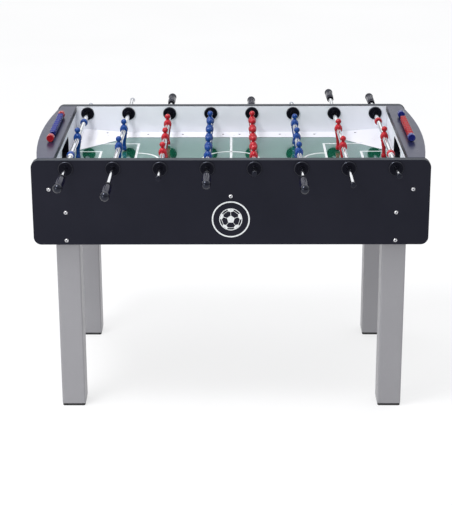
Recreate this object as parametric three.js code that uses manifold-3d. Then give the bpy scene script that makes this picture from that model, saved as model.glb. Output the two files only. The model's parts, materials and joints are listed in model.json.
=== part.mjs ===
// Foosball table: eight through bars in a laminated cabinet on four square legs.
// Millimetres, +Z up. +X runs along the table's length, +Y away from its front long side.
// Origin: centre of the footprint, on the floor.

import * as THREE from 'three';
import { ConvexGeometry } from 'three/addons/geometries/ConvexGeometry.js';
import { mergeVertices } from 'three/addons/utils/BufferGeometryUtils.js';
import Module from 'manifold-3d';

const wasm = await Module();
wasm.setup();

// ---------------------------------------------------------------- driving dimensions

const GAP = 0.3; // clearance left between two pieces that touch
const SIDES = { bar: 12, small: 12, bearing: 14 }; // sides of the turned pieces

const TABLE = { length: 1272, depth: 730, height: 870 };
const SIDE_PANEL = { thick: 28, height: 284, cornerRadius: 25 };
const END_PANEL = { innerX: 569, thick: 25 };
const GOAL_MOUTH = { width: 190, height: 58, cornerRadius: 14 };
const END_TOP = { innerX: 565, cornerX: 619.5, middleX: 646, thick: 22 };
const FIELD = { surfaceDrop: 105, thick: 30 }; // surfaceDrop: below the top of the panels
const RAMP = { width: 52, height: 6.5, edge: 0.8, cornerLeg: 250, cornerHeight: 22 };
const BOTTOM = { z: 606, thick: 10 };
const LEG = { size: 78, footHeight: 8, footInset: 1.5 };
const GOAL_BOX = { depth: 39.5, width: 220, bottomZ: 654, wall: 3.5 };
const BALL_WINDOW = { width: 120, height: 46, lip: 6 };

const BAR = { pitch: 150, radius: 8, boreRadius: 6, drop: 28 }; // drop: axis below the panel tops
const BEARING = { flangeRadius: 24, flangeThick: 5, barrelRadius: 16.7, boreRadius: 8.3 };
const BEARING_HOLE_RADIUS = 17.7;
const HANDLE = { length: 122, boreDepth: 104, boreRadius: 8.3 };
const CAP = { length: 10, endWall: 3, radius: 9.4, boreRadius: 8.3 };
const STOP_COLLAR = { radius: 13.5, width: 22, spacerRadius: 10.5, spacerWidth: 14 };
const PLAYER = { width: 26, torsoRadius: 14, headRadius: 10, headReach: 38, footReach: 72 };

const COUNTER = { x: 599, centreY: 12, knobSpacing: 305 };
const KNOB = { radius: 12.5, length: 24, edge: 1.5 };
const COUNTER_ROD_RADIUS = 2.5;
const BEADS = { count: 10, pitch: 24, radius: 10.3, seamRadius: 8.6, boreRadius: 2.9 };

// One entry for each bar, from the left end of the table to the right end.
// reach: how far the bar stands out past the panels on both sides when centred.
// handleSide: -1 at the front, +1 at the back. shift: how far the bar stands off centre.
const BARS = [
  { team: 'blue', handleSide: -1, reach: 100, shift: 0, players: [0], stops: [-210, 210] },
  { team: 'blue', handleSide: -1, reach: 180, shift: 0, players: [-112, 112], stops: [] },
  { team: 'red', handleSide: 1, reach: 112, shift: 0, players: [-182, 0, 182], stops: [] },
  { team: 'blue', handleSide: -1, reach: 62, shift: 0, players: [-224, -112, 0, 112, 224], stops: [] },
  { team: 'red', handleSide: 1, reach: 62, shift: 0, players: [-224, -112, 0, 112, 224], stops: [] },
  { team: 'blue', handleSide: -1, reach: 112, shift: 0, players: [-182, 0, 182], stops: [] },
  { team: 'red', handleSide: 1, reach: 180, shift: 0, players: [-112, 112], stops: [] },
  { team: 'red', handleSide: 1, reach: 100, shift: 10, players: [0], stops: [-210, 210] },
];

// ---------------------------------------------------------------- sizes that follow

const INNER_Y = TABLE.depth / 2 - SIDE_PANEL.thick; // inner face of the long side panels
const INSIDE_Y = INNER_Y - GAP; // a piece fitted between the long side panels ends here
const INSIDE_X = END_PANEL.innerX - GAP; // a piece fitted between the end panels ends here
const CABINET_BOTTOM_Z = TABLE.height - SIDE_PANEL.height;
const FIELD_Z = TABLE.height - FIELD.surfaceDrop;
const FIELD_BOTTOM_Z = FIELD_Z - FIELD.thick;
const END_TOP_BOTTOM_Z = TABLE.height - END_TOP.thick;
const BAR_Z = TABLE.height - BAR.drop;
const PANEL_FACE_Y = TABLE.depth / 2;

// ---------------------------------------------------------------- materials

const surface = (color, roughness, metalness = 0) =>
  new THREE.MeshStandardMaterial({ color, roughness, metalness });

const BLACK_LAMINATE = surface(0x24242a, 0.35);
const WHITE_LAMINATE = surface(0xe6e9ef, 0.45);
const GREEN_GLASS = surface(0x1a6b42, 0.08);
const GREY_PAINT = surface(0xa6a6ab, 0.45, 0.2);
const BLACK_PLASTIC = surface(0x141418, 0.4);
const CLEAR_PLASTIC = surface(0xc8ccd2, 0.15);
const CHROME = surface(0xd8dade, 0.12, 1);
const TEAM_PLASTIC = { blue: surface(0x1d48b4, 0.3), red: surface(0xc4202d, 0.3) };

// ---------------------------------------------------------------- shape helpers

function solidOf(geometry) {
  const bare = geometry.clone();
  bare.deleteAttribute('normal');
  bare.deleteAttribute('uv');
  const merged = mergeVertices(bare, 1e-4);
  const vertProperties = new Float32Array(merged.attributes.position.array);
  const triVerts = new Uint32Array(merged.index.array);
  return new wasm.Manifold(new wasm.Mesh({ numProp: 3, vertProperties, triVerts }));
}

function geometryOf(solid) {
  const { vertProperties, triVerts } = solid.getMesh();
  const geometry = new THREE.BufferGeometry();
  geometry.setAttribute('position', new THREE.BufferAttribute(vertProperties, 3));
  geometry.setIndex(new THREE.BufferAttribute(triVerts, 1));
  const faceted = geometry.toNonIndexed();
  faceted.computeVertexNormals();
  return faceted;
}

function box([x0, x1], [y0, y1], [z0, z1]) {
  const geometry = new THREE.BoxGeometry(x1 - x0, y1 - y0, z1 - z0);
  return geometry.translate((x0 + x1) / 2, (y0 + y1) / 2, (z0 + z1) / 2);
}

// A flat plate with its thickness centred on the plane it is drawn in.
function plate(shape, thickness, curveSegments = 6) {
  const geometry = new THREE.ExtrudeGeometry(shape, {
    depth: thickness,
    bevelEnabled: false,
    curveSegments,
  });
  return geometry.translate(0, 0, -thickness / 2);
}

// Turns a plate drawn in x, y so that it stands in the named plane of the table.
const STAND_XZ = new THREE.Matrix4().makeBasis(
  new THREE.Vector3(1, 0, 0),
  new THREE.Vector3(0, 0, 1),
  new THREE.Vector3(0, -1, 0)
);
const STAND_YZ = new THREE.Matrix4().makeBasis(
  new THREE.Vector3(0, 1, 0),
  new THREE.Vector3(0, 0, 1),
  new THREE.Vector3(1, 0, 0)
);

function roundedRectangle(width, height, radius) {
  const [w, h] = [width / 2, height / 2];
  const shape = new THREE.Shape();
  shape.absarc(w - radius, -h + radius, radius, -Math.PI / 2, 0, false);
  shape.absarc(w - radius, h - radius, radius, 0, Math.PI / 2, false);
  shape.absarc(-w + radius, h - radius, radius, Math.PI / 2, Math.PI, false);
  shape.absarc(-w + radius, -h + radius, radius, Math.PI, 1.5 * Math.PI, false);
  return shape;
}

// A turned piece about the Y axis. The outline is [radius, y] points, the solid on their left.
function turned(outline, sides = SIDES.small) {
  return new THREE.LatheGeometry(outline.map(([r, y]) => new THREE.Vector2(r, y)), sides);
}

const closed = (outline) => [...outline, outline[0]];

// ---------------------------------------------------------------- the table's group

const table = new THREE.Group();

function add(name, geometry, material, place = {}) {
  const mesh = new THREE.Mesh(geometry, material);
  mesh.name = name;
  mesh.position.set(...(place.at ?? [0, 0, 0]));
  mesh.rotation.set(...(place.turn ?? [0, 0, 0]));
  table.add(mesh);
}

const HALF_TURN_Z = [0, 0, Math.PI];
const HALF_TURN_X = [Math.PI, 0, 0];
const LONG_SIDES = [['front', -1], ['back', 1]];
const ENDS = [['left', HALF_TURN_Z], ['right', [0, 0, 0]]]; // the right end as drawn, the left turned

// ---------------------------------------------------------------- cabinet

const barX = (index) => (index - (BARS.length - 1) / 2) * BAR.pitch;

function sidePanel() {
  const middleZ = TABLE.height - SIDE_PANEL.height / 2;
  const shape = roundedRectangle(TABLE.length, SIDE_PANEL.height, SIDE_PANEL.cornerRadius);
  BARS.forEach((bar, index) => {
    const hole = new THREE.Path();
    hole.absarc(barX(index), BAR_Z - middleZ, BEARING_HOLE_RADIUS, 0, 2 * Math.PI, true);
    shape.holes.push(hole);
  });
  return plate(shape, SIDE_PANEL.thick).applyMatrix4(STAND_XZ).translate(0, 0, middleZ);
}

function endPanel() {
  const [bottom, top] = [CABINET_BOTTOM_Z, END_TOP_BOTTOM_Z - GAP];
  const shape = new THREE.Shape();
  shape.moveTo(-INSIDE_Y, bottom);
  shape.lineTo(INSIDE_Y, bottom);
  shape.lineTo(INSIDE_Y, top);
  shape.lineTo(-INSIDE_Y, top);
  shape.closePath();
  const [w, r] = [GOAL_MOUTH.width / 2, GOAL_MOUTH.cornerRadius];
  const mouthTop = FIELD_Z + GOAL_MOUTH.height;
  const mouth = new THREE.Path();
  mouth.moveTo(w, FIELD_Z);
  mouth.lineTo(-w, FIELD_Z);
  mouth.absarc(-w + r, mouthTop - r, r, Math.PI, Math.PI / 2, true);
  mouth.absarc(w - r, mouthTop - r, r, Math.PI / 2, 0, true);
  mouth.closePath();
  shape.holes.push(mouth);
  return plate(shape, END_PANEL.thick, 3)
    .applyMatrix4(STAND_YZ)
    .translate(END_PANEL.innerX + END_PANEL.thick / 2, 0, 0);
}

// The outer edge is one arc through both corners and the middle of the end.
function endTop() {
  const sagitta = END_TOP.middleX - END_TOP.cornerX;
  const radius = (INSIDE_Y ** 2 + sagitta ** 2) / (2 * sagitta);
  const angle = Math.asin(INSIDE_Y / radius);
  const shape = new THREE.Shape();
  shape.moveTo(END_TOP.innerX, INSIDE_Y);
  shape.lineTo(END_TOP.innerX, -INSIDE_Y);
  shape.absarc(END_TOP.middleX - radius, 0, radius, -angle, angle, false);
  shape.closePath();
  const middleZ = TABLE.height - END_TOP.thick / 2;
  return plate(shape, END_TOP.thick, 10).translate(0, 0, middleZ);
}

// A sloped strip along the far long side, with a low wedge rising into each corner of the field.
function ramp() {
  const baseZ = FIELD_Z + GAP;
  const edgeY = INSIDE_Y - RAMP.width;
  const shape = new THREE.Shape();
  shape.moveTo(edgeY, baseZ);
  shape.lineTo(INSIDE_Y, baseZ);
  shape.lineTo(INSIDE_Y, baseZ + RAMP.height);
  shape.lineTo(edgeY, baseZ + RAMP.edge);
  shape.closePath();
  let solid = solidOf(plate(shape, 2 * INSIDE_X).applyMatrix4(STAND_YZ));
  for (const side of [-1, 1]) {
    const corner = [side * INSIDE_X, INSIDE_Y];
    const alongEnd = [side * INSIDE_X, INSIDE_Y - RAMP.cornerLeg];
    const alongSide = [side * (INSIDE_X - RAMP.cornerLeg), INSIDE_Y];
    const points = [
      new THREE.Vector3(...corner, baseZ + RAMP.cornerHeight),
      new THREE.Vector3(...alongEnd, baseZ + RAMP.edge),
      new THREE.Vector3(...alongSide, baseZ + RAMP.edge),
    ];
    for (const place of [corner, alongEnd, alongSide]) points.push(new THREE.Vector3(...place, baseZ));
    solid = solid.add(solidOf(new ConvexGeometry(points)));
  }
  return geometryOf(solid);
}

function bottomBoard() {
  const [x, y] = [INSIDE_X, INSIDE_Y];
  const notchX = x - LEG.size - GAP;
  const notchY = y - LEG.size - GAP;
  const outline = [
    [notchX, -y], [notchX, -notchY], [x, -notchY], [x, notchY], [notchX, notchY], [notchX, y],
    [-notchX, y], [-notchX, notchY], [-x, notchY], [-x, -notchY], [-notchX, -notchY], [-notchX, -y],
  ];
  const shape = new THREE.Shape(outline.map((point) => new THREE.Vector2(...point)));
  return plate(shape, BOTTOM.thick).translate(0, 0, BOTTOM.z + BOTTOM.thick / 2);
}

// A square leg that stands on a slightly smaller foot plate. It is drawn about its own axis.
function leg() {
  const half = LEG.size / 2;
  const foot = half - LEG.footInset;
  const post = box([-half, half], [-half, half], [LEG.footHeight, FIELD_BOTTOM_Z - GAP]);
  const plateUnder = box([-foot, foot], [-foot, foot], [0, LEG.footHeight + 1]);
  return geometryOf(solidOf(post).add(solidOf(plateUnder)));
}

// A hollow box outside the end panel: open to the goal mouth, with a window where balls come out.
function goalBox() {
  const { wall } = GOAL_BOX;
  const x0 = END_PANEL.innerX + END_PANEL.thick + GAP;
  const x1 = x0 + GOAL_BOX.depth;
  const y = GOAL_BOX.width / 2;
  const [z0, z1] = [GOAL_BOX.bottomZ, END_TOP_BOTTOM_Z - GAP];
  const outside = solidOf(box([x0, x1], [-y, y], [z0, z1]));
  const inside = solidOf(box([x0 - 1, x1 - wall], [wall - y, y - wall], [z0 + wall, z1 - wall]));
  const windowY = BALL_WINDOW.width / 2;
  const windowZ = z0 + wall + BALL_WINDOW.lip;
  const window = solidOf(
    box([x1 - wall - 1, x1 + 1], [-windowY, windowY], [windowZ, windowZ + BALL_WINDOW.height])
  );
  return geometryOf(outside.subtract(inside).subtract(window));
}

function buildCabinet() {
  const panelMiddleY = PANEL_FACE_Y - SIDE_PANEL.thick / 2;
  for (const [name, side] of LONG_SIDES) {
    add(`${name}_panel`, sidePanel(), BLACK_LAMINATE, { at: [0, side * panelMiddleY, 0] });
    add(`${name}_ramp`, ramp(), WHITE_LAMINATE, side < 0 ? { turn: HALF_TURN_Z } : {});
  }
  for (const [name, turn] of ENDS) {
    add(`${name}_end_panel`, endPanel(), WHITE_LAMINATE, { turn });
    add(`${name}_end_top`, endTop(), BLACK_LAMINATE, { turn });
    add(`${name}_goal_box`, goalBox(), BLACK_PLASTIC, { turn });
  }
  const field = box([-INSIDE_X, INSIDE_X], [-INSIDE_Y, INSIDE_Y], [FIELD_BOTTOM_Z, FIELD_Z]);
  add('playfield', field, GREEN_GLASS);
  add('bottom_board', bottomBoard(), BLACK_LAMINATE);
}

function buildLegs() {
  const [x, y] = [INSIDE_X - LEG.size / 2, INSIDE_Y - LEG.size / 2];
  for (const [depthName, ySide] of LONG_SIDES) {
    for (const [endName, xSide] of [['left', -1], ['right', 1]]) {
      add(`leg_${depthName}_${endName}`, leg(), GREY_PAINT, { at: [xSide * x, ySide * y, 0] });
    }
  }
}

// ---------------------------------------------------------------- score counters

// A thin rod between two knobs, all one turned piece lying along Y.
function counterRail() {
  const end = COUNTER.knobSpacing / 2 + KNOB.length / 2;
  const shoulder = end - KNOB.length;
  return turned([
    [0, -end], [KNOB.radius - KNOB.edge, -end], [KNOB.radius, KNOB.edge - end],
    [KNOB.radius, -shoulder], [COUNTER_ROD_RADIUS, -shoulder], [COUNTER_ROD_RADIUS, shoulder],
    [KNOB.radius, shoulder], [KNOB.radius, end - KNOB.edge], [KNOB.radius - KNOB.edge, end], [0, end],
  ]);
}

function counterBeads() {
  const start = (-BEADS.count * BEADS.pitch) / 2;
  const outline = [[BEADS.boreRadius, start], [BEADS.seamRadius, start]];
  for (let bead = 0; bead < BEADS.count; bead += 1) {
    const from = start + bead * BEADS.pitch;
    outline.push([BEADS.radius, from + BEADS.pitch / 2]);
    outline.push([BEADS.seamRadius, from + BEADS.pitch]);
  }
  outline.push([BEADS.boreRadius, -start]);
  return turned(closed(outline));
}

// Each counter's beads rest against one knob and leave a gap at the other.
function buildCounters() {
  const axisZ = TABLE.height + GAP + KNOB.radius;
  const beadsOffset = (COUNTER.knobSpacing - KNOB.length - BEADS.count * BEADS.pitch) / 2 - GAP;
  const counters = [
    { name: 'left', side: -1, railTeam: 'red', beadTeam: 'blue', beadSide: 1 },
    { name: 'right', side: 1, railTeam: 'blue', beadTeam: 'red', beadSide: -1 },
  ];
  for (const { name, side, railTeam, beadTeam, beadSide } of counters) {
    const x = side * COUNTER.x;
    const beadsY = COUNTER.centreY + beadSide * beadsOffset;
    add(`${name}_score_rail`, counterRail(), TEAM_PLASTIC[railTeam], {
      at: [x, COUNTER.centreY, axisZ],
    });
    add(`${name}_score_beads`, counterBeads(), TEAM_PLASTIC[beadTeam], { at: [x, beadsY, axisZ] });
  }
}

// ---------------------------------------------------------------- bars and players

// One player about the bar's axis: a side outline drawn across the bar, with a round head.
function playerSolid() {
  const t = PLAYER.torsoRadius;
  const foot = -PLAYER.footReach;
  const shape = new THREE.Shape();
  shape.moveTo(-8, foot);
  shape.lineTo(8, foot);
  shape.lineTo(8, foot + 13);
  shape.lineTo(6.5, foot + 18);
  shape.lineTo(7.5, -t);
  shape.absarc(0, 0, t, -0.9, 0.9, false);
  shape.lineTo(5, 21);
  shape.lineTo(-5, 21);
  shape.absarc(0, 0, t, Math.PI - 0.9, Math.PI + 0.9, false);
  shape.lineTo(-7.5, -t);
  shape.lineTo(-6.5, foot + 18);
  shape.lineTo(-8, foot + 13);
  shape.closePath();
  const body = solidOf(plate(shape, PLAYER.width, 2).applyMatrix4(STAND_XZ));
  const head = new THREE.SphereGeometry(PLAYER.headRadius, 8, 6);
  head.rotateX(Math.PI / 2).translate(0, 0, PLAYER.headReach - PLAYER.headRadius);
  return body.add(solidOf(head));
}

// The steel tube with its players moulded on, and its stop collars, each with a spacer outside it.
function barWithPlayers(bar) {
  const plainEnd = PANEL_FACE_Y + bar.reach - CAP.endWall - GAP;
  const handleEnd = PANEL_FACE_Y + bar.reach + HANDLE.boreDepth - GAP;
  const [from, to] = bar.handleSide < 0 ? [-handleEnd, plainEnd] : [-plainEnd, handleEnd];
  const cylinder = (radius, y0, y1) =>
    solidOf(turned([[0, y0], [radius, y0], [radius, y1], [0, y1]], SIDES.bar));
  let solid = cylinder(BAR.radius, from, to);
  for (const y of bar.players) solid = solid.add(playerSolid().translate([0, y, 0]));
  for (const y of bar.stops) {
    const half = STOP_COLLAR.width / 2;
    const reach = Math.sign(y) * (half + STOP_COLLAR.spacerWidth);
    solid = solid.add(cylinder(STOP_COLLAR.radius, y - half, y + half));
    solid = solid.add(cylinder(STOP_COLLAR.spacerRadius, Math.min(y, y + reach), Math.max(y, y + reach)));
  }
  return geometryOf(solid.subtract(cylinder(BAR.boreRadius, from - 1, to + 1)));
}

// A bush with a flange on each face of the panel, drawn about the middle of the panel.
function bearing() {
  const face = SIDE_PANEL.thick / 2 + GAP;
  const end = face + BEARING.flangeThick;
  return turned(closed([
    [BEARING.boreRadius, -end], [BEARING.flangeRadius, -end], [BEARING.flangeRadius, -face],
    [BEARING.barrelRadius, -face], [BEARING.barrelRadius, face], [BEARING.flangeRadius, face],
    [BEARING.flangeRadius, end], [BEARING.boreRadius, end],
  ]), SIDES.bearing);
}

// A grip with a blind bore for the bar: the collar starts at y = 0, the domed end is at +y.
function handle() {
  const end = HANDLE.length;
  return turned([
    [0, HANDLE.boreDepth], [HANDLE.boreRadius, HANDLE.boreDepth], [HANDLE.boreRadius, 0],
    [10, 0], [10, 14], [13.5, 24], [14.5, 60], [13, 88], [15, 98], [15, 110], [10, end - 2], [0, end],
  ]);
}

// A cup pushed over the plain end of the bar: its closed end is at y = 0.
function endCap() {
  return turned([
    [0, 0], [CAP.radius, 0], [CAP.radius, CAP.length],
    [CAP.boreRadius, CAP.length], [CAP.boreRadius, CAP.endWall], [0, CAP.endWall],
  ]);
}

function buildBar(bar, index) {
  const name = `rod_${index + 1}`;
  const x = barX(index);
  const panelMiddleY = PANEL_FACE_Y - SIDE_PANEL.thick / 2;
  add(name, barWithPlayers(bar), TEAM_PLASTIC[bar.team], { at: [x, bar.shift, BAR_Z] });
  for (const [sideName, side] of LONG_SIDES) {
    add(`${name}_bearing_${sideName}`, bearing(), BLACK_PLASTIC, {
      at: [x, side * panelMiddleY, BAR_Z],
    });
  }
  const reachY = PANEL_FACE_Y + bar.reach;
  add(`${name}_handle`, handle(), BLACK_PLASTIC, {
    at: [x, bar.shift + bar.handleSide * reachY, BAR_Z],
    turn: bar.handleSide < 0 ? HALF_TURN_X : [0, 0, 0],
  });
  add(`${name}_end_cap`, endCap(), CLEAR_PLASTIC, {
    at: [x, bar.shift - bar.handleSide * reachY, BAR_Z],
    turn: bar.handleSide < 0 ? HALF_TURN_X : [0, 0, 0],
  });
}

buildCabinet();
buildLegs();
buildCounters();
BARS.forEach(buildBar);

export default table;
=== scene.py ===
"""Looks of the foosball table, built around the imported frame. Metres, +Z up, +Y away."""

import math

import bmesh
import bpy
from mathutils import Matrix, Vector
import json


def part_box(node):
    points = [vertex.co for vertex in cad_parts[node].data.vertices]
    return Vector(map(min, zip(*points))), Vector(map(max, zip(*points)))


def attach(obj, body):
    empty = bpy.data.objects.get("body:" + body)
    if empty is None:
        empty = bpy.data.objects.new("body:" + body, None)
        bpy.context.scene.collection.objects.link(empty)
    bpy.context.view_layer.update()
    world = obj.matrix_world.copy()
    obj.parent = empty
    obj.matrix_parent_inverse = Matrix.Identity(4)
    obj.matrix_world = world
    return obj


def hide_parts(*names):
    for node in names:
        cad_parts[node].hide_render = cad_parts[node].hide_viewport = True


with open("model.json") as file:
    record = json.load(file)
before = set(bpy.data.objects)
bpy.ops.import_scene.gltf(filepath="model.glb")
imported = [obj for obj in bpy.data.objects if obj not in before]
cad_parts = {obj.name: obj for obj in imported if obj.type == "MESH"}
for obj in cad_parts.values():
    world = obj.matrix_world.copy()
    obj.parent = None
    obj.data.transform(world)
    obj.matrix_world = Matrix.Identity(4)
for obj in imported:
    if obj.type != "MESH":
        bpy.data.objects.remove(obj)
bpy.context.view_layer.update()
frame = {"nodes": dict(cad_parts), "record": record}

# ---------------------------------------------------------------- driving sizes

MM = 0.001
COOL = (0.72, 0.78, 1.0, 1.0)  # the tint of what the dark boards mirror
LAMINATE_EDGE = 1.3 * MM  # rounding of the board edges
LEG_CORNER = 6 * MM
LEG_BEVEL = 1.6 * MM
FOOT_HEIGHT = 8 * MM
FOOT_INSET = 1.5 * MM
FOOT_BEVEL = 1 * MM
FOOT_TOP_BEVEL = 0.6 * MM

BAR_RADIUS = 8 * MM
BORE_RADIUS = 8.3 * MM
FLANGE_THICK = 5 * MM
STOP_PLACE = 210 * MM  # distance of a stop collar from the middle of its bar
STOP_WIDTH = 22 * MM
STOP_RADIUS = 13.5 * MM
SPACER = {"radius": 9.4 * MM, "width": 14 * MM}
GRIP_COLLAR = 13.5 * MM  # length of the bumper at the inner end of a grip
GRIP_BALL_START = 97.6 * MM
GRIP_END = {"radius": 15, "middle": 107}  # the ball at the outer end, in millimetres
HEAD_LEVEL = 30 * MM  # above the bar's axis only the heads of the players are left
FIGURE_VOXEL = 0.65 * MM

KNOB_LENGTH = 24 * MM
COUNTER_ROD_RADIUS = 2.5 * MM
BEAD_COUNT = 10
BEAD_GAP = 1.4 * MM

BOLT = {"radius": 5.5 * MM, "height": 3.0 * MM, "socket": 2.8 * MM, "depth": 2.4 * MM}
BOLT_TWIST = 0.7  # each bolt is screwed in this much further than the last, in radians
END_BOLT_DROP = 97 * MM
LEG_BOLT_SHARES = (0.052, 0.385)  # heights as parts of the panel's height
WASHER = {"radius": 6.2 * MM, "height": 0.9 * MM}
RAMP_SCREW = {"radius": 4.2 * MM, "height": 0.6 * MM}
RAMP_SCREW_PLACES = [30 * MM, 177 * MM, 303 * MM, 452 * MM]
RAMP_SCREW_SHARE = 0.55  # place across the ramp, from its inner edge
RAMP_EDGE = 0.8 * MM
RAMP_WALL_HEIGHT = 6.5 * MM
RAMP_WIDTH = 52 * MM
CORNER_LEG = 250 * MM
CORNER_HEIGHT = 22 * MM

LINE = {"width": 8 * MM, "height": 0.25 * MM}
HALFWAY_REACH = 284 * MM  # the halfway line ends at the ramps
CENTRE_CIRCLE_RADIUS = 98 * MM
LARGE_BOX = {"x": 330 * MM, "y": 200 * MM}
SMALL_BOX = {"x": 455 * MM, "y": 100 * MM}
PENALTY_ARC_RADIUS = 80 * MM

STRIP = {"middle": 0.12, "half": 0.06, "level": 0.12}  # the room's dark strip and its brightness

BADGE = {"radius": 61 * MM, "ring": 4.5 * MM, "ball": 37 * MM, "stroke": 2.6 * MM, "drop": 198 * MM}

BAR_NUMBERS = range(1, 9)
SLOT_OF = {part["node"]: part["material_slot"] for part in frame["record"]["subparts"]}
TEAM_OF_BAR = {n: SLOT_OF[f"rod_{n}"].removesuffix("_bar") for n in BAR_NUMBERS}


def middle(node):
    low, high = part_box(node)
    return (low + high) / 2


# ---------------------------------------------------------------- materials


def shader_of(name):
    material = bpy.data.materials.new(name)
    material.use_nodes = True
    return material, material.node_tree, material.node_tree.nodes["Principled BSDF"]


def coordinates(tree, stretch=(1, 1, 1)):
    """Object coordinates in metres, stretched so that a pattern can run along one direction."""
    source = tree.nodes.new("ShaderNodeTexCoord")
    mapping = tree.nodes.new("ShaderNodeMapping")
    mapping.inputs["Scale"].default_value = stretch
    tree.links.new(source.outputs["Object"], mapping.inputs["Vector"])
    return mapping.outputs["Vector"]


def noise(tree, vector, scale, detail=5.0, distortion=0.0):
    node = tree.nodes.new("ShaderNodeTexNoise")
    node.inputs["Scale"].default_value = scale
    node.inputs["Detail"].default_value = detail
    node.inputs["Distortion"].default_value = distortion
    tree.links.new(vector, node.inputs["Vector"])
    return node.outputs["Fac"]


def spread(tree, value, low, high, start=0.3, end=0.7):
    """Maps the noise range start..end to low..high."""
    node = tree.nodes.new("ShaderNodeMapRange")
    node.inputs["From Min"].default_value = start
    node.inputs["From Max"].default_value = end
    node.inputs["To Min"].default_value = low
    node.inputs["To Max"].default_value = high
    tree.links.new(value, node.inputs["Value"])
    return node.outputs["Result"]


def calculated(tree, operation, *values):
    """A sum on sockets and numbers."""
    node = tree.nodes.new("ShaderNodeMath")
    node.operation = operation
    for socket, value in zip(node.inputs, values):
        if isinstance(value, bpy.types.NodeSocket):
            tree.links.new(value, socket)
        else:
            socket.default_value = value
    return node.outputs[0]


def blend_colours(tree, value, first, second):
    """Mixes two colours, or a colour socket and a colour, by a value from 0 to 1."""
    node = tree.nodes.new("ShaderNodeMix")
    node.data_type = "RGBA"
    tree.links.new(value, node.inputs["Factor"])
    for socket, colour in ((node.inputs["A"], first), (node.inputs["B"], second)):
        if isinstance(colour, bpy.types.NodeSocket):
            tree.links.new(colour, socket)
        else:
            socket.default_value = (*colour, 1)
    return node.outputs["Result"]


def add_bump(tree, shader, height, strength, distance):
    node = tree.nodes.new("ShaderNodeBump")
    node.inputs["Strength"].default_value = strength
    node.inputs["Distance"].default_value = distance
    tree.links.new(height, node.inputs["Height"])
    tree.links.new(node.outputs["Normal"], shader.inputs["Normal"])


def grained(name, colours, grain, roughness, bump, stretch=(1, 1, 1), **sockets):
    """A finish with mottled colour, uneven gloss and a fine relief.

    colours: two colours to mix. grain: noise scales of colour, gloss and relief.
    roughness: lowest and highest. bump: strength and depth of the relief.
    sockets: constant values of the shader, named as its inputs with _ for a space.
    """
    material, tree, shader = shader_of(name)
    vector = coordinates(tree, stretch)
    colour_scale, gloss_scale, relief_scale = grain
    mottle = spread(tree, noise(tree, vector, colour_scale), 0, 1)
    tree.links.new(blend_colours(tree, mottle, *colours), shader.inputs["Base Color"])
    gloss = spread(tree, noise(tree, vector, gloss_scale), *roughness)
    tree.links.new(gloss, shader.inputs["Roughness"])
    add_bump(tree, shader, noise(tree, vector, relief_scale, detail=3), *bump)
    for socket, value in sockets.items():
        shader.inputs[socket.replace("_", " ")].default_value = value
    return material


def black_laminate():
    return grained(
        "black_laminate", [(0.0076, 0.0074, 0.0125), (0.0100, 0.0096, 0.0155)],
        grain=(7, 30, 900), roughness=(0.36, 0.44), bump=(0.04, 0.0001),
        Specular_IOR_Level=0.20, Specular_Tint=COOL,
    )


def end_top_board_and_sheen():
    """The same black board as the panels under a glossier film, painted lighter and bluer than the panels
    as a stand-in for part of the bluish sheen on the tops.
    """
    return grained(
        "end_top_board_and_sheen", [(0.010, 0.011, 0.034), (0.013, 0.014, 0.040)],
        grain=(5, 22, 900), roughness=(0.27, 0.31), bump=(0.01, 0.0001),
        Specular_IOR_Level=0.53, Specular_Tint=(0.60, 0.66, 1.0, 1.0),
    )


# Board edge on the faces that point up: duller than the panels, and painted lighter and bluer as a partial
# stand-in for the sheen on the top edge.
def top_edge_and_sheen():
    return grained(
        "top_edge_and_sheen", [(0.014, 0.018, 0.026), (0.020, 0.025, 0.034)],
        grain=(40, 50, 1200), roughness=(0.38, 0.48), bump=(0.05, 0.0001), stretch=(0.15, 1, 1),
        Specular_IOR_Level=0.22, Specular_Tint=COOL,
    )


def white_laminate():
    return grained(
        "white_laminate", [(0.82, 0.845, 0.91), (0.85, 0.875, 0.935)],
        grain=(6, 30, 700), roughness=(0.34, 0.46), bump=(0.05, 0.0002),
    )


def white_ramp_plastic():
    return grained(
        "white_ramp_plastic", [(0.79, 0.785, 0.845), (0.815, 0.81, 0.865)],
        grain=(14, 40, 1100), roughness=(0.26, 0.38), bump=(0.06, 0.0002),
    )


def grey_paint():
    """Sprayed paint: a soft orange-peel relief with fine metallic flecks."""
    material, tree, shader = shader_of("grey_paint")
    vector = coordinates(tree)
    flecks = spread(tree, noise(tree, vector, 2600, detail=2), 0, 1, 0.45, 0.62)
    cloud = spread(tree, noise(tree, vector, 7), 0, 1)
    body = blend_colours(tree, cloud, (0.280, 0.276, 0.294), (0.305, 0.301, 0.320))
    tree.links.new(blend_colours(tree, flecks, body, (0.35, 0.347, 0.368)), shader.inputs["Base Color"])
    tree.links.new(spread(tree, noise(tree, vector, 45), 0.38, 0.50), shader.inputs["Roughness"])
    add_bump(tree, shader, noise(tree, vector, 420, detail=2), 0.12, 0.0004)
    shader.inputs["Metallic"].default_value = 0.12
    return material


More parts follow.
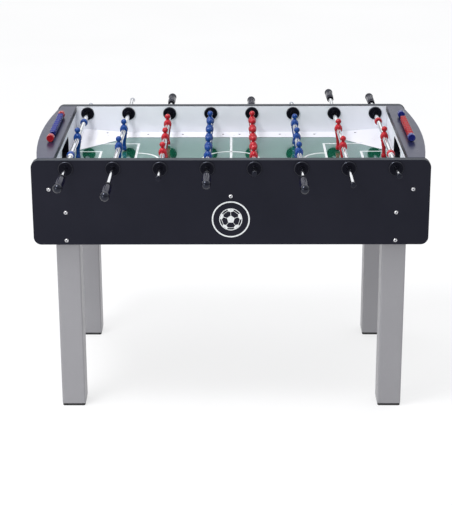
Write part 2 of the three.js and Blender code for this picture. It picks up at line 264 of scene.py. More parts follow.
def green_playfield():
    """Green glass-topped board: a clear gloss coat over printed green, with faint play marks."""
    material, tree, shader = shader_of("green_playfield")
    vector = coordinates(tree)
    cloud = spread(tree, noise(tree, vector, 5), 0, 1)
    speckle = spread(tree, noise(tree, vector, 1500, detail=2), 0, 1, 0.35, 0.75)
    body = blend_colours(tree, cloud, (0.008, 0.110, 0.058), (0.011, 0.122, 0.066))
    tree.links.new(blend_colours(tree, speckle, body, (0.014, 0.130, 0.074)), shader.inputs["Base Color"])
    marks = noise(tree, coordinates(tree, (4, 30, 1)), 9, detail=8, distortion=0.6)
    tree.links.new(spread(tree, marks, 0.03, 0.09), shader.inputs["Roughness"])
    tree.links.new(spread(tree, marks, 0.015, 0.05), shader.inputs["Coat Roughness"])
    add_bump(tree, shader, noise(tree, vector, 6, detail=1), 0.02, 0.0006)
    shader.inputs["Coat Weight"].default_value = 1.0
    shader.inputs["Coat IOR"].default_value = 1.6
    shader.inputs["Coat Tint"].default_value = (0.86, 0.97, 1.0, 1.0)
    return material


def black_plastic():
    return grained(
        "black_plastic", [(0.0035, 0.0035, 0.0075), (0.0060, 0.0060, 0.0110)],
        grain=(70, 90, 2200), roughness=(0.18, 0.27), bump=(0.06, 0.0001),
        Specular_IOR_Level=0.28, Specular_Tint=COOL,
    )


def bearing_plastic():
    return grained(
        "bearing_plastic", [(0.0038, 0.0038, 0.0068), (0.0055, 0.0055, 0.0092)],
        grain=(70, 90, 2200), roughness=(0.24, 0.34), bump=(0.06, 0.0001),
        Specular_IOR_Level=0.07, Specular_Tint=COOL,
    )


def rim_gloss_and_painted_highlight():
    """A lighter, glossier finish on the rim of a bearing: the lighter colour is a painted highlight along
    the rim, and the stronger gloss reflects the lamps.
    """
    return grained(
        "rim_gloss_and_painted_highlight", [(0.010, 0.010, 0.013), (0.018, 0.018, 0.022)],
        grain=(70, 90, 2200), roughness=(0.30, 0.42), bump=(0.03, 0.0001),
        Specular_IOR_Level=0.42, Specular_Tint=COOL,
    )


def grip_ball():
    """The polished end of a handle."""
    return grained(
        "grip_ball", [(0.003, 0.003, 0.006), (0.006, 0.006, 0.010)],
        grain=(70, 60, 1500), roughness=(0.03, 0.07), bump=(0.01, 0.0001),
        Specular_IOR_Level=0.44, Specular_Tint=COOL,
    )


def grip_plastic():
    """Handle grip: hard glossy black with a faint moulded waviness and hand wear."""
    material, tree, shader = shader_of("grip_plastic")
    vector = coordinates(tree)
    wear = spread(tree, noise(tree, vector, 85, detail=6), 0, 1, 0.35, 0.75)
    tree.links.new(blend_colours(tree, wear, (0.004, 0.004, 0.015), (0.008, 0.008, 0.024)),
                   shader.inputs["Base Color"])
    streaks = noise(tree, coordinates(tree, (1, 0.12, 1)), 260, detail=4)
    tree.links.new(spread(tree, streaks, 0.04, 0.26, 0.38, 0.62), shader.inputs["Roughness"])
    add_bump(tree, shader, noise(tree, vector, 160, detail=2), 0.05, 0.0002)
    shader.inputs["Specular IOR Level"].default_value = 0.10
    shader.inputs["Specular Tint"].default_value = COOL
    return material


def team_plastic(name, deep, bright, specular=0.40):
    """Moulded glossy plastic: faint flow marks, and scuffs that wear it matt in places."""
    material, tree, shader = shader_of(name)
    vector = coordinates(tree)
    flow = spread(tree, noise(tree, coordinates(tree, (1, 1, 0.35)), 95, detail=3, distortion=1.2), 0, 1)
    tree.links.new(blend_colours(tree, flow, deep, bright), shader.inputs["Base Color"])
    scuffs = noise(tree, vector, 260, detail=6)
    tree.links.new(spread(tree, scuffs, 0.12, 0.30, 0.40, 0.72), shader.inputs["Roughness"])
    add_bump(tree, shader, noise(tree, vector, 900, detail=2), 0.06, 0.0002)
    shader.inputs["Specular IOR Level"].default_value = specular
    return material


def chrome():
    """Plated steel: fine polishing rings round the bar and a faint film."""
    material, tree, shader = shader_of("chrome")
    vector = coordinates(tree)
    film = spread(tree, noise(tree, vector, 22), 0, 1)
    tree.links.new(blend_colours(tree, film, (0.72, 0.73, 0.76), (0.80, 0.81, 0.83)),
                   shader.inputs["Base Color"])
    rings = noise(tree, coordinates(tree, (0.05, 9, 0.05)), 160, detail=4)
    tree.links.new(spread(tree, rings, 0.05, 0.15), shader.inputs["Roughness"])
    add_bump(tree, shader, rings, 0.05, 0.0001)
    shader.inputs["Metallic"].default_value = 1.0
    return material


def zinc():
    return grained(
        "zinc_screw", [(0.80, 0.80, 0.83), (0.92, 0.92, 0.94)],
        grain=(350, 260, 1800), roughness=(0.22, 0.40), bump=(0.12, 0.0001),
        Metallic=1.0,
    )


# Dark zinc: the own colour of the ramp screws, and painted shade inside the bolt sockets.
def dark_zinc_and_socket_shade():
    return grained(
        "dark_zinc_and_socket_shade", [(0.16, 0.16, 0.18), (0.26, 0.26, 0.29)],
        grain=(350, 260, 1800), roughness=(0.30, 0.50), bump=(0.12, 0.0001),
        Metallic=1.0,
    )


def white_print():
    return grained(
        "white_print", [(0.74, 0.77, 0.78), (0.82, 0.84, 0.85)],
        grain=(120, 90, 2500), roughness=(0.20, 0.30), bump=(0.08, 0.0001),
        Coat_Weight=0.6, Coat_Roughness=0.04,
    )


def black_rubber():
    return grained(
        "black_rubber", [(0.012, 0.012, 0.013), (0.020, 0.020, 0.021)],
        grain=(160, 120, 2600), roughness=(0.55, 0.75), bump=(0.30, 0.0003),
    )


def clear_plastic():
    """Milky see-through plastic."""
    return grained(
        "clear_plastic", [(0.60, 0.63, 0.71), (0.66, 0.69, 0.76)],
        grain=(120, 90, 1500), roughness=(0.22, 0.34), bump=(0.04, 0.0001),
        Transmission_Weight=0.35, IOR=1.42,
    )


def white_nylon():
    return grained(
        "white_nylon", [(0.70, 0.72, 0.76), (0.78, 0.80, 0.83)],
        grain=(120, 90, 1500), roughness=(0.25, 0.38), bump=(0.05, 0.0001),
    )


LAMINATE = black_laminate()
END_TOP_BOARD_AND_SHEEN = end_top_board_and_sheen()
TOP_EDGE_AND_SHEEN = top_edge_and_sheen()
WHITE_BOARD = white_laminate()
RAMP_PLASTIC = white_ramp_plastic()
PAINT = grey_paint()
PLAYFIELD = green_playfield()
BLACK_PLASTIC = black_plastic()
BEARING = bearing_plastic()
RIM_GLOSS_AND_PAINTED_HIGHLIGHT = rim_gloss_and_painted_highlight()
GRIP_BALL = grip_ball()
GRIP = grip_plastic()
CHROME = chrome()
ZINC = zinc()
DARK_ZINC_AND_SOCKET_SHADE = dark_zinc_and_socket_shade()
PRINT = white_print()
RUBBER = black_rubber()
CLEAR = clear_plastic()
NYLON = white_nylon()
TEAM = {
    "blue": team_plastic("blue_plastic", (0.0012, 0.038, 0.208), (0.0020, 0.053, 0.274)),
    "red": team_plastic("red_plastic", (0.375, 0.006, 0.014), (0.480, 0.009, 0.021)),
}
COUNTER = {
    "blue": team_plastic("blue_counter_plastic", (0.008, 0.014, 0.135), (0.013, 0.021, 0.190), 0.32),
    "red": team_plastic("red_counter_plastic", (0.25, 0.004, 0.009), (0.33, 0.006, 0.013), 0.32),
}

# ---------------------------------------------------------------- mesh helpers


def smooth_mesh(name, bm, materials, sharp_degrees=38):
    """Turns a bmesh into a mesh that shades smoothly but keeps its sharp edges."""
    bmesh.ops.recalc_face_normals(bm, faces=bm.faces)
    mesh = bpy.data.meshes.new(name)
    bm.to_mesh(mesh)
    bm.free()
    for material in materials:
        mesh.materials.append(material)
    mesh.polygons.foreach_set("use_smooth", [True] * len(mesh.polygons))
    mesh.set_sharp_from_angle(angle=math.radians(sharp_degrees))
    return mesh


def add_piece(name, mesh, body, slot, replaces=(), place=None):
    """Puts a mesh into the scene as a piece that rides on a body of the frame."""
    piece = bpy.data.objects.new(name, mesh)
    bpy.context.scene.collection.objects.link(piece)
    if place is not None:
        piece.matrix_world = place
    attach(piece, body)
    if replaces:
        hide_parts(*replaces)
    return piece


def even_shading(piece):
    """Keeps flat faces flat where they meet a rounded edge."""
    modifier = piece.modifiers.new("even shading", "WEIGHTED_NORMAL")
    modifier.keep_sharp = True
    modifier.weight = 100


def solid_piece(name, bm, materials, place, body, slot, replaces=()):
    """Moves a bmesh to its place and makes it an evenly shaded piece."""
    bm.transform(place)
    even_shading(add_piece(name, smooth_mesh(name, bm, materials), body, slot, replaces))


def rounded(points, cut, steps=3, loop=False):
    """The outline with each corner rounded by a curve that cuts at most `cut` off its sides."""
    result = []
    for i, point in enumerate(points):
        if not loop and i in (0, len(points) - 1):
            result.append(tuple(point))
            continue
        here = Vector(point)
        before = Vector(points[i - 1]) - here
        after = Vector(points[(i + 1) % len(points)]) - here
        start = here + before.normalized() * min(cut, before.length * 0.45)
        end = here + after.normalized() * min(cut, after.length * 0.45)
        for step in range(steps + 1):
            t = step / steps
            result.append(tuple(start * (1 - t) ** 2 + here * 2 * t * (1 - t) + end * t * t))
    return result


def ring_about_y(bm, radius, y, segments, shape=None):
    """Vertices of a ring about the Y axis, or a single one on the axis."""
    if radius < 1e-6:
        return [bm.verts.new((0, y, 0))]
    ring = []
    for k in range(segments):
        angle = 2 * math.pi * k / segments
        r = radius * (shape(angle, y) if shape else 1)
        ring.append(bm.verts.new((r * math.cos(angle), y, r * math.sin(angle))))
    return ring


def turned(bm, outline, segments=40, loop=False, shape=None):
    """Adds a solid turned about the Y axis. The outline is (radius, y) points.

    loop: the outline closes on itself and misses the axis.
    shape(angle, y): scales the radius, for pieces that aren't round.
    """
    rings = [ring_about_y(bm, radius, y, segments, shape) for radius, y in outline]
    pairs = list(zip(rings, rings[1:]))
    if loop:
        pairs.append((rings[-1], rings[0]))
    for lower, upper in pairs:
        join_rings(bm, lower, upper)


def join_rings(bm, lower, upper):
    """Faces between two rings of vertices. A ring of one vertex is a tip."""
    count = max(len(lower), len(upper))
    for k in range(count):
        after = (k + 1) % count
        corners = [lower[k % len(lower)], lower[after % len(lower)],
                   upper[after % len(upper)], upper[k % len(upper)]]
        distinct = list(dict.fromkeys(corners))
        if len(distinct) > 2:
            bm.faces.new(distinct)


def slab(bm, outline, bottom, top):
    """Adds an upright solid over an outline of (x, y) points."""
    rings = [[bm.verts.new((x, y, z)) for x, y in outline] for z in (bottom, top)]
    join_rings(bm, *rings)
    for ring in rings:
        bm.faces.new(ring)


def rounded_square(half, radius, steps=6):
    """Corner points of a square with round corners, about the origin."""
    points = []
    for quarter in range(4):
        centre = Matrix.Rotation(quarter * math.pi / 2, 2) @ Vector((half - radius, half - radius))
        for step in range(steps + 1):
            angle = (quarter + step / steps) * math.pi / 2
            points.append((centre.x + radius * math.cos(angle), centre.y + radius * math.sin(angle)))
    return points


def softened(node, width, materials, steps=2, pick=None, cuts=()):
    """A copy of a CAD node with its coplanar faces joined and its edges rounded.

    pick(face, rounded_edge): the material index of a face.
    cuts: planes that split the faces, each as an axis letter and a place along it.
    """
    bm = bmesh.new()
    bm.from_mesh(frame["nodes"][node].data)
    bmesh.ops.remove_doubles(bm, verts=bm.verts, dist=1e-5)
    bmesh.ops.dissolve_limit(bm, angle_limit=math.radians(1), verts=bm.verts, edges=bm.edges)
    for axis, place in cuts:
        everything = [*bm.verts, *bm.edges, *bm.faces]
        direction = Vector((axis == "x", axis == "y", axis == "z"))
        bmesh.ops.bisect_plane(bm, geom=everything, plane_co=direction * place, plane_no=direction)
    bm.normal_update()
    sharp = [e for e in bm.edges if len(e.link_faces) == 2 and e.calc_face_angle() > math.radians(35)]
    made = bmesh.ops.bevel(
        bm, geom=sharp, offset=width, segments=steps, profile=0.5, affect="EDGES", clamp_overlap=True
    )
    on_edge = set(made["faces"])
    bm.normal_update()
    for face in bm.faces:
        face.material_index = pick(face, face in on_edge) if pick else 0
    return smooth_mesh(f"{node}_shell", bm, materials)


def mark_faces(bm, index, chosen):
    """Gives a material index to the faces whose middle is chosen."""
    for face in bm.faces:
        if chosen(face.calc_center_median()):
            face.material_index = index


def append(bm, other):
    """Adds another bmesh to bm and frees it."""
    mesh = bpy.data.meshes.new("part")
    other.to_mesh(mesh)
    other.free()
    bm.from_mesh(mesh)
    bpy.data.meshes.remove(mesh)


def soft_board(node, name, slot, width, materials, steps=2, pick=None, cuts=()):
    """Puts a rounded copy of a cabinet node in its place."""
    mesh = softened(node, width, materials, steps, pick, cuts)
    even_shading(add_piece(name, mesh, "cabinet", slot, [node]))


def half_turn(flip):
    """A half turn about the vertical, for a piece drawn towards +Y that has to face -Y."""
    return Matrix.Rotation(math.pi if flip else 0, 4, "Z")


# ---------------------------------------------------------------- cabinet

PANEL_LOW, PANEL_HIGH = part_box("front_panel")
FIELD_LOW, FIELD_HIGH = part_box("playfield")
FIELD_TOP = FIELD_HIGH.z
CABINET_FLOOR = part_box("bottom_board")[1].z


def build_long_panels():
    """Black boards, white inside the cabinet, with a duller band along the top edge, painted lighter and
    bluer there to stand in partly for its sheen.
    """
    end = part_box("right_end_panel")[0].x
    cuts = [("x", -end), ("x", end), ("z", CABINET_FLOOR)]
    for side, sign in (("front", -1), ("back", 1)):
        def pick(face, rounded_edge, sign=sign):
            middle = face.calc_center_bounds()
            inside = face.normal.y * sign < -0.9 and abs(middle.x) < end and middle.z > CABINET_FLOOR
            if inside and not rounded_edge:
                return 1
            # Faces that point up get the band: partly painted sheen.
            return 2 if face.normal.z > 0.6 else 0

        boards = [LAMINATE, WHITE_BOARD, TOP_EDGE_AND_SHEEN]
        soft_board(f"{side}_panel", f"{side}_panel_board", "black_laminate", LAMINATE_EDGE, boards,
                   3, pick, cuts)


def build_ends():
    """End boards, white inside, with a glossy top and a box behind each goal."""
    for side, sign in (("left", -1), ("right", 1)):
        def pick(face, rounded_edge, sign=sign):
            inside = face.normal.x * sign < -0.9 and face.calc_center_bounds().z > CABINET_FLOOR
            return 1 if inside and not rounded_edge else 0

        def pick_top(face, rounded_edge):
            # Faces that point up get the lighter, bluer finish: partly painted sheen.
            return 0 if face.normal.z > 0.5 else 1

        soft_board(f"{side}_end_panel", f"{side}_end_board", "white_laminate", LAMINATE_EDGE,
                   [LAMINATE, WHITE_BOARD], 2, pick, [("z", CABINET_FLOOR)])
        soft_board(f"{side}_end_top", f"{side}_end_cover", "black_laminate", 1.8 * MM,
                   [END_TOP_BOARD_AND_SHEEN, LAMINATE], 4, pick_top)
        soft_board(f"{side}_goal_box", f"{side}_ball_box", "black_plastic", 0.9 * MM, [BLACK_PLASTIC])


def build_field():
    """The playfield in its CAD shape, the white ramps beside it and the board under it."""
    playfield = frame["nodes"]["playfield"]
    playfield.data.materials.clear()
    playfield.data.materials.append(PLAYFIELD)
    for side in ("front", "back"):
        soft_board(f"{side}_ramp", f"{side}_ramp_strip", "white_laminate", 0.35 * MM, [RAMP_PLASTIC])
    soft_board("bottom_board", "underside_board", "black_laminate", LAMINATE_EDGE, [LAMINATE])


def arc_band(bm, centre, radius, start, end, steps, bottom, top):
    """A flat curved stripe between two angles, closed into a ring when they span a full turn."""
    full = end - start > 2 * math.pi - 1e-6
    half = LINE["width"] / 2
    angles = [start + (end - start) * k / steps for k in range(steps + (not full))]
    loops = []
    for angle in angles:
        direction = Vector((math.cos(angle), math.sin(angle)))
        loop = []
        for r, z in ((radius - half, bottom), (radius + half, bottom),
                     (radius + half, top), (radius - half, top)):
            loop.append(bm.verts.new((centre[0] + direction.x * r, centre[1] + direction.y * r, z)))
        loops.append(loop)
    for one, other in zip(loops, loops[1:] + (loops[:1] if full else [])):
        join_rings(bm, one, other)
    if not full:
        bm.faces.new(loops[0])
        bm.faces.new(loops[-1])


def straight_stripe(bm, x_range, y_range, bottom, top):
    """A flat straight stripe over a rectangle."""
    (x0, x1), (y0, y1) = x_range, y_range
    slab(bm, [(x0, y0), (x1, y0), (x1, y1), (x0, y1)], bottom, top)


def add_print(name, bm):
    """Adds a piece of white print on the cabinet."""
    add_piece(name, smooth_mesh(name, bm, [PRINT]), "cabinet", "white_print")


def build_field_lines():
    """White lines printed on the field: halfway line, centre circle, boxes and their arcs."""
    bottom = FIELD_TOP + 0.05 * MM
    top = bottom + LINE["height"]
    half = LINE["width"] / 2
    ends_x = FIELD_HIGH.x
    bm = bmesh.new()
    straight_stripe(bm, (-half, half), (-HALFWAY_REACH, HALFWAY_REACH), bottom, top)
    add_print("halfway_line", bm)
    bm = bmesh.new()
    arc_band(bm, (0, 0), CENTRE_CIRCLE_RADIUS, 0, 2 * math.pi, 96, bottom, top)
    add_print("centre_circle", bm)
    for side, sign in (("left", -1), ("right", 1)):
        for label, box in (("large", LARGE_BOX), ("small", SMALL_BOX)):
            bm = bmesh.new()
            inner, outer = box["x"] - half, box["x"] + half
            across = sorted((sign * inner, sign * outer))
            straight_stripe(bm, across, (-box["y"] - half, box["y"] + half), bottom, top)
            along = sorted((sign * outer, sign * ends_x))
            for y in (-box["y"], box["y"]):
                straight_stripe(bm, along, (y - half, y + half), bottom, top)
            add_print(f"{side}_{label}_box_lines", bm)
        bm = bmesh.new()
        centre = (sign * LARGE_BOX["x"], 0)
        reach = math.acos(half / PENALTY_ARC_RADIUS)
        facing = math.pi if sign > 0 else 0
        arc_band(bm, centre, PENALTY_ARC_RADIUS, facing - reach, facing + reach, 40, bottom, top)
        add_print(f"{side}_penalty_arc", bm)


def square_post(bm, half, levels):
    """Adds an upright square post with round corners through (height, inset) levels."""
    rings = []
    for z, inset in levels:
        outline = rounded_square(half - inset, LEG_CORNER - inset)
        rings.append([bm.verts.new((x, y, z)) for x, y in outline])
    for lower, upper in zip(rings, rings[1:]):
        join_rings(bm, lower, upper)
    bm.faces.new(rings[0])
    bm.faces.new(rings[-1])


def build_legs():
    """Four painted posts, each on a black foot plate."""
    for node in [f"leg_{depth}_{end}" for depth in ("front", "back") for end in ("left", "right")]:
        low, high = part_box(node)
        half = (high.x - low.x) / 2
        place = Matrix.Translation((middle(node).x, middle(node).y, 0))
        post_levels = [(FOOT_HEIGHT, LEG_BEVEL), (FOOT_HEIGHT + LEG_BEVEL, 0),
                       (high.z - LEG_BEVEL, 0), (high.z, LEG_BEVEL)]
        foot_levels = [(0, FOOT_BEVEL), (FOOT_BEVEL, 0),
                       (FOOT_HEIGHT - FOOT_TOP_BEVEL, 0), (FOOT_HEIGHT, FOOT_TOP_BEVEL)]
        bm = bmesh.new()
        square_post(bm, half, post_levels)
        solid_piece(f"{node}_post", bm, [PAINT], place, "cabinet", "grey_paint", [node])
        bm = bmesh.new()
        square_post(bm, half - FOOT_INSET, foot_levels)
        solid_piece(f"{node}_foot", bm, [RUBBER], place, "cabinet", "black_rubber")


# ---------------------------------------------------------------- fasteners and badge


def hexagon(angle, y):
    """How much further than its flats a hexagon reaches at an angle."""
    sixth = math.pi / 3
    return 1 / math.cos((angle % sixth) - sixth / 2)


def hex_bolt(bm):
    """A button head with a hexagon socket on a washer, drawn towards +Y from the board's face."""
    lift = WASHER["height"]
    washer = rounded([(0, 0), (WASHER["radius"], 0), (WASHER["radius"], lift), (0, lift)], 0.3 * MM, 2)
    turned(bm, washer, 36)
    r, h, s, d = BOLT["radius"], BOLT["height"] + lift, BOLT["socket"], BOLT["depth"]
    dome = [(r, lift), (r, lift + 0.8 * MM), (r * 0.86, h - 0.8 * MM), (r * 0.62, h), (s * 1.28, h)]
    outside = rounded([(0, lift), *dome], 0.7 * MM, 3)
    turned_with_socket(bm, outside, s, h, d)


def turned_with_socket(bm, outside, socket, top, depth, segments=48, shape=hexagon):
    """A turned head whose flat top has a shaped recess."""
    rings = [ring_about_y(bm, radius, y, segments) for radius, y in outside]
    for radius, y in ((socket, top), (socket, top - depth), (0, top - depth * 1.15)):
        rings.append(ring_about_y(bm, radius, y, segments, shape))
    for lower, upper in zip(rings, rings[1:]):
        join_rings(bm, lower, upper)


def cross_shape(angle, y):
    """Four lobes, for a cross recess."""
    return 0.55 + 0.45 * abs(math.cos(2 * angle)) ** 3


def cross_screw(bm):
    """A flat screw head with a cross recess, drawn towards +Y."""
    r, h = RAMP_SCREW["radius"], RAMP_SCREW["height"]
    outside = rounded([(0, -h), (r, -h), (r, h * 0.4), (r * 0.8, h), (r * 0.62, h)], 0.3 * MM, 2)
    turned_with_socket(bm, outside, r * 0.56, h, h * 1.4, shape=cross_shape)


def bolt_places():
    """X and Z of the bolts through each long side: end panels, legs and the field board."""
    end_low, end_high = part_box("right_end_panel")
    leg = middle("leg_front_right")
    end_x = (end_low.x + end_high.x) / 2
    leg_rows = [PANEL_LOW.z + share * (PANEL_HIGH.z - PANEL_LOW.z) for share in LEG_BOLT_SHARES]
    places = [(0, (FIELD_LOW.z + FIELD_HIGH.z) / 2)]
    for sign in (-1, 1):
        places.append((sign * end_x, PANEL_HIGH.z - END_BOLT_DROP))
        places.extend((sign * leg.x, z) for z in leg_rows)
    return places


def build_bolts():
    """Seven bolts on each long side, each with its socket turned another way."""
    for side, sign in (("front", -1), ("back", 1)):
        face = PANEL_LOW.y if sign < 0 else -PANEL_LOW.y
        bm = bmesh.new()
        for index, (x, z) in enumerate(bolt_places()):
            one = bmesh.new()
            hex_bolt(one)
            # Painted shade: the faces inside the socket get the dark zinc.
            mark_faces(one, 1, lambda place: math.hypot(place.x, place.z) < BOLT["socket"] * 1.04)
            twist = Matrix.Rotation(index * BOLT_TWIST, 4, "Y")
            one.transform(Matrix.Translation((x, face, z)) @ half_turn(sign < 0) @ twist)
            append(bm, one)
        mesh = smooth_mesh(f"{side}_panel_bolts", bm, [ZINC, DARK_ZINC_AND_SOCKET_SHADE])
        add_piece(f"{side}_panel_bolts", mesh, "cabinet", "zinc_screw")


def ramp_height(y_share):
    """Height of the ramp's sloped face above its base at a share of its width."""
    return RAMP_EDGE + (RAMP_WALL_HEIGHT - RAMP_EDGE) * y_share


def corner_height(x, y):
    """Height of the corner wedge above the ramp's base at a place on the field."""
    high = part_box("back_ramp")[1]
    inside = abs(x) + abs(y) - (high.x + high.y - CORNER_LEG)
    return RAMP_EDGE + (CORNER_HEIGHT - RAMP_EDGE) * inside / CORNER_LEG if inside > 0 else 0


def build_ramp_screws():
    """A row of screws along each ramp, on the slope or on the corner wedges."""
    low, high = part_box("back_ramp")
    y = high.y - RAMP_WIDTH * (1 - RAMP_SCREW_SHARE)
    for side, sign in (("front", -1), ("back", 1)):
        bm = bmesh.new()
        for x in [s * place for place in RAMP_SCREW_PLACES for s in (-1, 1)]:
            base = low.z + max(ramp_height(RAMP_SCREW_SHARE), corner_height(x, y))
            one = bmesh.new()
            cross_screw(one)
            upright = Matrix.Rotation(math.pi / 2, 4, "X")
            one.transform(Matrix.Translation((x, sign * y, base)) @ upright)
            append(bm, one)
        mesh = smooth_mesh(f"{side}_ramp_screws", bm, [DARK_ZINC_AND_SOCKET_SHADE])
        add_piece(f"{side}_ramp_screws", mesh, "cabinet", "zinc_screw")


def flat_stroke(bm, start, end, width, thick):
    """A thin straight stroke between two (x, z) points, lying on the plane y = 0, proud towards -Y."""
    a, b = Vector(start), Vector(end)
    across = Vector((-(b - a).y, (b - a).x)).normalized() * width / 2
    corners = [a + across, a - across, b - across, b + across]
    prism(bm, corners, thick)


def prism(bm, corners, thick):
    """A thin plate over (x, z) corners, standing proud of the plane y = 0 towards -Y."""
    rings = [[bm.verts.new((p[0], y, p[1])) for p in corners] for y in (0, -thick)]
    join_rings(bm, *rings)
    for ring in rings:
        bm.faces.new(ring)


def flat_ring(bm, inner, outer, thick, steps=96):
    """A thin ring standing proud of the plane y = 0 towards -Y."""
    loops = []
    for k in range(steps):
        angle = 2 * math.pi * k / steps
        c, s = math.cos(angle), math.sin(angle)
        loops.append([bm.verts.new((r * c, y, r * s)) for r, y in
                      ((inner, 0), (outer, 0), (outer, -thick), (inner, -thick))])
    for one, other in zip(loops, loops[1:] + loops[:1]):
        join_rings(bm, one, other)


def polar(radius, turns):
    """A point at a share of a full turn, measured from straight up."""
    angle = math.pi / 2 + 2 * math.pi * turns
    return Vector((radius * math.cos(angle), radius * math.sin(angle)))


def build_badge():
    """A plain round badge: a closed ring with a simple ball in it."""
    thick = 0.5 * MM
    ring, ball, stroke = BADGE["ring"], BADGE["ball"], BADGE["stroke"]
    bm = bmesh.new()
    flat_ring(bm, BADGE["radius"] - ring, BADGE["radius"], thick)
    flat_ring(bm, ball - stroke, ball, thick)
    patch, seam = 0.36 * ball, 0.66 * ball
    prism(bm, [polar(patch, k / 5) for k in range(5)], thick)
    for k in range(5):
        knee = polar(seam, k / 5)
        flat_stroke(bm, polar(patch * 0.9, k / 5), knee, stroke * 0.55, thick)
        left, right = polar(0.80 * ball, (k + 0.27) / 5), polar(0.80 * ball, (k - 0.27) / 5)
        rim_left, rim_right = polar(0.94 * ball, (k + 0.20) / 5), polar(0.94 * ball, (k - 0.20) / 5)
        prism(bm, [knee, right, rim_right, rim_left, left], thick)
        flat_stroke(bm, left, polar(0.80 * ball, (k + 0.73) / 5), stroke * 0.55, thick)
    face = Matrix.Translation((0, PANEL_LOW.y - 0.05 * MM, PANEL_HIGH.z - BADGE["drop"]))
    bm.transform(face)
    add_print("front_badge", bm)


# ---------------------------------------------------------------- score counters


def square_shape(power):
    """Scale of a radius that turns a circle into a square with round corners."""
    def shape(angle, y):
        c, s = abs(math.cos(angle)), abs(math.sin(angle))
        return (c ** power + s ** power) ** (-1 / power)
    return shape


def build_counters():
    """A steel rod with two knobs and ten beads on each end top."""
    for side, rail_team in (("left", "red"), ("right", "blue")):
        bead_team = "blue" if rail_team == "red" else "red"
        low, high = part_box(f"{side}_score_rail")
        axis = (low + high) / 2
        half = (high.y - low.y) / 2
        radius = (high.z - low.z) / 2
        place = Matrix.Translation(axis)
        bm = bmesh.new()
        r = COUNTER_ROD_RADIUS
        inner = half - KNOB_LENGTH + 1 * MM
        turned(bm, [(0, -inner), (r, -inner), (r, inner), (0, inner)], 20)
        solid_piece(f"{side}_score_rod", bm, [CHROME], place, "cabinet", "chrome", [f"{side}_score_rail"])
        for end, sign in (("front", -1), ("back", 1)):
            outwards = Matrix.Translation((0, sign * (half - KNOB_LENGTH), 0)) @ half_turn(sign < 0)
            build_knob(f"{side}_score_knob_{end}", rail_team, radius, place @ outwards)
        build_beads(side, bead_team)


def build_knob(name, team, radius, place):
    """A round knob with a shallow dish in its outer face, drawn towards +Y."""
    k = KNOB_LENGTH
    dish = radius * 0.66
    outline = [(0, 0), (radius * 0.92, 0), (radius, 1.6 * MM), (radius, k - 1.8 * MM),
               (radius * 0.9, k), (dish + 0.8 * MM, k), (dish, k - 0.9 * MM), (0, k - 0.6 * MM)]
    bm = bmesh.new()
    turned(bm, rounded(outline, 1.2 * MM, 3), 48)
    solid_piece(name, bm, [COUNTER[team]], place, "cabinet", f"{team}_plastic")


def build_beads(side, team):
    """Ten separate blocks with round corners on the counter's rod."""
    low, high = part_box(f"{side}_score_beads")
    axis = (low + high) / 2
    pitch = (high.y - low.y) / BEAD_COUNT
    radius = (high.z - low.z) / 2 * 0.97
    bore = COUNTER_ROD_RADIUS + 0.3 * MM
    lip = radius * 0.66
    bevel = pitch * 0.36
    bm = bmesh.new()
    for index in range(BEAD_COUNT):
        y0 = low.y + index * pitch + BEAD_GAP / 2
        y1 = y0 + pitch - BEAD_GAP
        outline = [(bore, y0), (lip, y0), (radius, y0 + bevel), (radius, y1 - bevel), (lip, y1), (bore, y1)]
        turned(bm, rounded(outline, 2.4 * MM, 4, loop=True), 48, loop=True, shape=square_shape(7))
    place = Matrix.Translation((axis.x, 0, axis.z))
    solid_piece(f"{side}_score_bead_row", bm, [COUNTER[team]], place, f"{side}_beads",
                f"{team}_plastic", [f"{side}_score_beads"])


# ---------------------------------------------------------------- bars


def handle_grip(angle, y):
    """Eight shallow flutes along the middle of the grip."""
    along = (y - 22 * MM) / (92 * MM - 22 * MM)
    if not 0 < along < 1:
        return 1
    depth = 0.10 * math.sin(math.pi * along) ** 0.5
    return 1 - depth * (0.5 - 0.5 * math.cos(8 * angle))


def build_handle(n, axis):
    """A collar, a fluted grip and a ball at the end, drawn from y = 0 outwards."""
    low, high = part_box(f"rod_{n}_handle")
    front = (low.y + high.y) / 2 < 0
    inner_end = high.y if front else low.y
    outline = [
        (0, 0), (11.6, 0), (12.2, 0.7), (12.2, 10.6), (11.4, 11.6), (10.6, 12.4), (10.6, 14.2),
        (11.3, 15.6), (12.6, 19), (13.6, 26), (14.3, 42), (14.5, 58), (14.1, 74), (13.2, 86),
        (12.5, 91), (12.1, 95), (11.9, 97.6),
    ]
    for degrees in range(-35, 91, 5):
        angle = math.radians(degrees)
        outline.append((GRIP_END["radius"] * math.cos(angle),
                        GRIP_END["middle"] + GRIP_END["radius"] * math.sin(angle)))
    bm = bmesh.new()
    turned(bm, [(r * MM, y * MM) for r, y in subdivided(outline, 2.6)], 64, shape=handle_grip)
    mark_faces(bm, 1, lambda place: place.y < GRIP_COLLAR)
    mark_faces(bm, 2, lambda place: place.y > GRIP_BALL_START)
    bm.transform(Matrix.Translation((axis.x, inner_end, axis.z)) @ half_turn(front))
    name = f"rod_{n}_grip"
    grip = smooth_mesh(name, bm, [GRIP, BEARING, GRIP_BALL], 50)
    add_piece(name, grip, f"bar_{n}", "black_plastic", [f"rod_{n}_handle"])


def subdivided(points, longest):
    """The outline with extra points wherever a side is longer than `longest`."""
    result = [points[0]]
    for one, other in zip(points, points[1:]):
        length = math.dist(one, other)
        parts = max(1, math.ceil(length / longest))
        for k in range(1, parts + 1):
            t = k / parts
            result.append((one[0] + (other[0] - one[0]) * t, one[1] + (other[1] - one[1]) * t))
    return result


